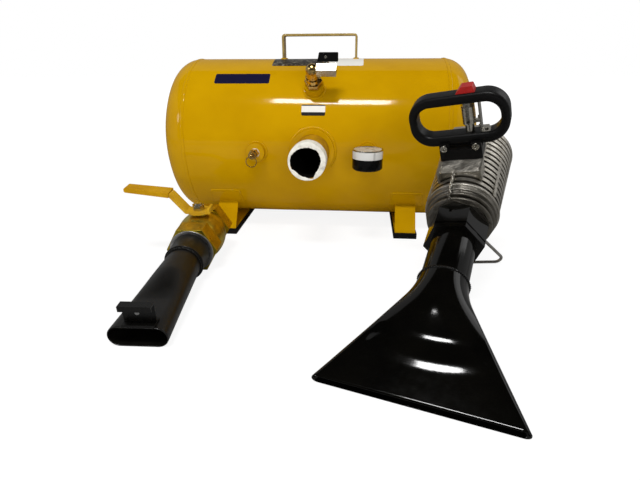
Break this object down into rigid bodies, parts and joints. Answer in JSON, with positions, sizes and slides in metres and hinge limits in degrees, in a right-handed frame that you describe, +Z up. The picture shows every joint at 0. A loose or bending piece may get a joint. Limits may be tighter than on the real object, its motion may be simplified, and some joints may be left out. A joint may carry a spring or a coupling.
{
  "type": "portable air blaster set",
  "caption": "Portable compressed air tank on feet with gauge, safety valve and inlet valve, and two loose blast guns: one with a ball valve, one with a trigger handle.",
  "frame": {"origin": "on the floor under the middle of the tank", "axes": "+X along the tank, -Y the outlet side, +Z up"},
  "size_m": [0.6279, 0.7793, 0.356],
  "materials": {
    "yellow_paint": "gloss",
    "handle_gold": "satin",
    "shoe_rubber": "matte",
    "steel_pipe": "satin",
    "thread_tape": "matte",
    "brass": "satin",
    "gauge_black": "gloss",
    "dial_white": "matte",
    "clear_lens": "clear",
    "nickel": "polished",
    "black_plastic": "matte",
    "label_blank": "matte",
    "gun_black": "gloss",
    "valve_brass": "satin",
    "seal_white": "matte",
    "lever_steel": "satin",
    "lever_yellow": "satin",
    "cast_aluminium": "as cast",
    "spring_steel": "satin",
    "button_red": "satin"
  },
  "bodies": {
    "tank": {"tank_shell": "yellow_paint", "left_head": "yellow_paint", "right_head": "yellow_paint", "carry_handle": "handle_gold", "left_foot": "yellow_paint", "right_foot": "yellow_paint", "left_shoe": "shoe_rubber", "right_shoe": "shoe_rubber", "outlet_boss": "yellow_paint", "outlet_nipple": "steel_pipe", "outlet_tape": "thread_tape", "small_bosses": "yellow_paint", "gauge_stem": "brass", "gauge_case": "gauge_black", "gauge_dial": "dial_white", "gauge_lens": "clear_lens", "safety_tape": "thread_tape", "safety_valve_body": "brass", "inlet_boss": "yellow_paint", "inlet_nipple": "brass", "inlet_elbow": "brass", "inlet_valve_body": "nickel", "label_plates": "label_blank"},
    "gauge_needle": {"gauge_needle": "gauge_black"},
    "safety_stem": {"safety_stem": "brass"},
    "pull_ring": {"pull_ring": "brass"},
    "inlet_lever": {"inlet_valve_ball": "nickel", "inlet_valve_lever": "black_plastic", "inlet_lever_screw": "nickel"},
    "ball_valve_gun": {"barrel_tube": "gun_black", "reducing_bush": "gun_black", "thread_washer": "steel_pipe", "ball_valve_end": "valve_brass", "ball_seats": "seal_white", "ball_valve_body": "valve_brass", "gland_nut": "nickel", "rim_hook": "gun_black", "hook_rivet": "nickel"},
    "ball_lever": {"valve_ball": "nickel", "valve_stem": "nickel", "ball_lever": "lever_steel", "lever_grip": "lever_yellow", "lever_nut": "nickel"},
    "trigger_gun": {"fan_nozzle": "gun_black", "nozzle_tube": "gun_black", "union_nut": "gun_black", "gun_housing": "cast_aluminium", "rear_port_bush": "cast_aluminium", "seat_ring": "seal_white", "piston_spring": "spring_steel", "handle_block": "black_plastic", "d_handle": "black_plastic", "handle_bolts": "nickel", "pilot_body": "nickel", "pilot_bracket": "cast_aluminium", "bracket_screws": "nickel"},
    "piston": {"piston": "cast_aluminium"},
    "trigger_button": {"trigger_button": "button_red"},
    "pilot_plunger": {"pilot_plunger": "nickel"},
    "wire_stand": {"wire_stand": "spring_steel"}
  },
  "joints": [
    {"name": "needle_turn", "type": "hinge", "parent": "tank", "child": "gauge_needle", "pos_m": [0.0955, -0.195, 0.1594], "axis": [0, 0, -1], "range_deg": [0, 270]},
    {"name": "safety_pull", "type": "slide", "parent": "tank", "child": "safety_stem", "axis": [0, -1, 0], "range_m": [0, 0.003], "stiffness_N_per_m": 800, "springref_m": -0.004},
    {"name": "ring_swing", "type": "hinge", "parent": "safety_stem", "child": "pull_ring", "pos_m": [-0.1, -0.1946, 0.16], "axis": [-1, 0, 0], "range_deg": [0, 90]},
    {"name": "inlet_valve_turn", "type": "hinge", "parent": "tank", "child": "inlet_lever", "pos_m": [0.023, -0.14759, 0.29489], "axis": [0, 0, 1], "range_deg": [0, 90]},
    {"name": "ball_gun_lift", "type": "slide", "parent": "tank", "child": "ball_valve_gun", "axis": [0, 0, 1], "range_m": [0, 0.3]},
    {"name": "ball_lever_turn", "type": "hinge", "parent": "ball_valve_gun", "child": "ball_lever", "pos_m": [-0.17631, -0.25349, 0.0406], "axis": [0.0035, -0.0994, 0.995], "range_deg": [0, 90]},
    {"name": "trigger_gun_lift", "type": "slide", "parent": "tank", "child": "trigger_gun", "axis": [0, 0, 1], "range_m": [0, 0.3]},
    {"name": "piston_slide", "type": "slide", "parent": "trigger_gun", "child": "piston", "axis": [0.2835, 0.8882, 0.3616], "range_m": [0, 0.012], "stiffness_N_per_m": 900, "springref_m": -0.02, "deforming": ["piston_spring"]},
    {"name": "trigger_press", "type": "slide", "parent": "trigger_gun", "child": "trigger_button", "axis": [0.2737, 0.2865, -0.9182], "range_m": [0, 0.004], "stiffness_N_per_m": 1200, "springref_m": -0.004},
    {"name": "pilot_slide", "type": "slide", "parent": "trigger_gun", "child": "pilot_plunger", "axis": [0.2737, 0.2865, -0.9182], "range_m": [0, 0.004]},
    {"name": "stand_fold", "type": "hinge", "parent": "trigger_gun", "child": "wire_stand", "pos_m": [0.2429, -0.28214, 0.07427], "axis": [-0.9926, -0.1212, 0], "range_deg": [0, 80]}
  ],
  "couplings": [
    {"joint": "pilot_slide", "follows": "trigger_press", "ratio": 1}
  ]
}
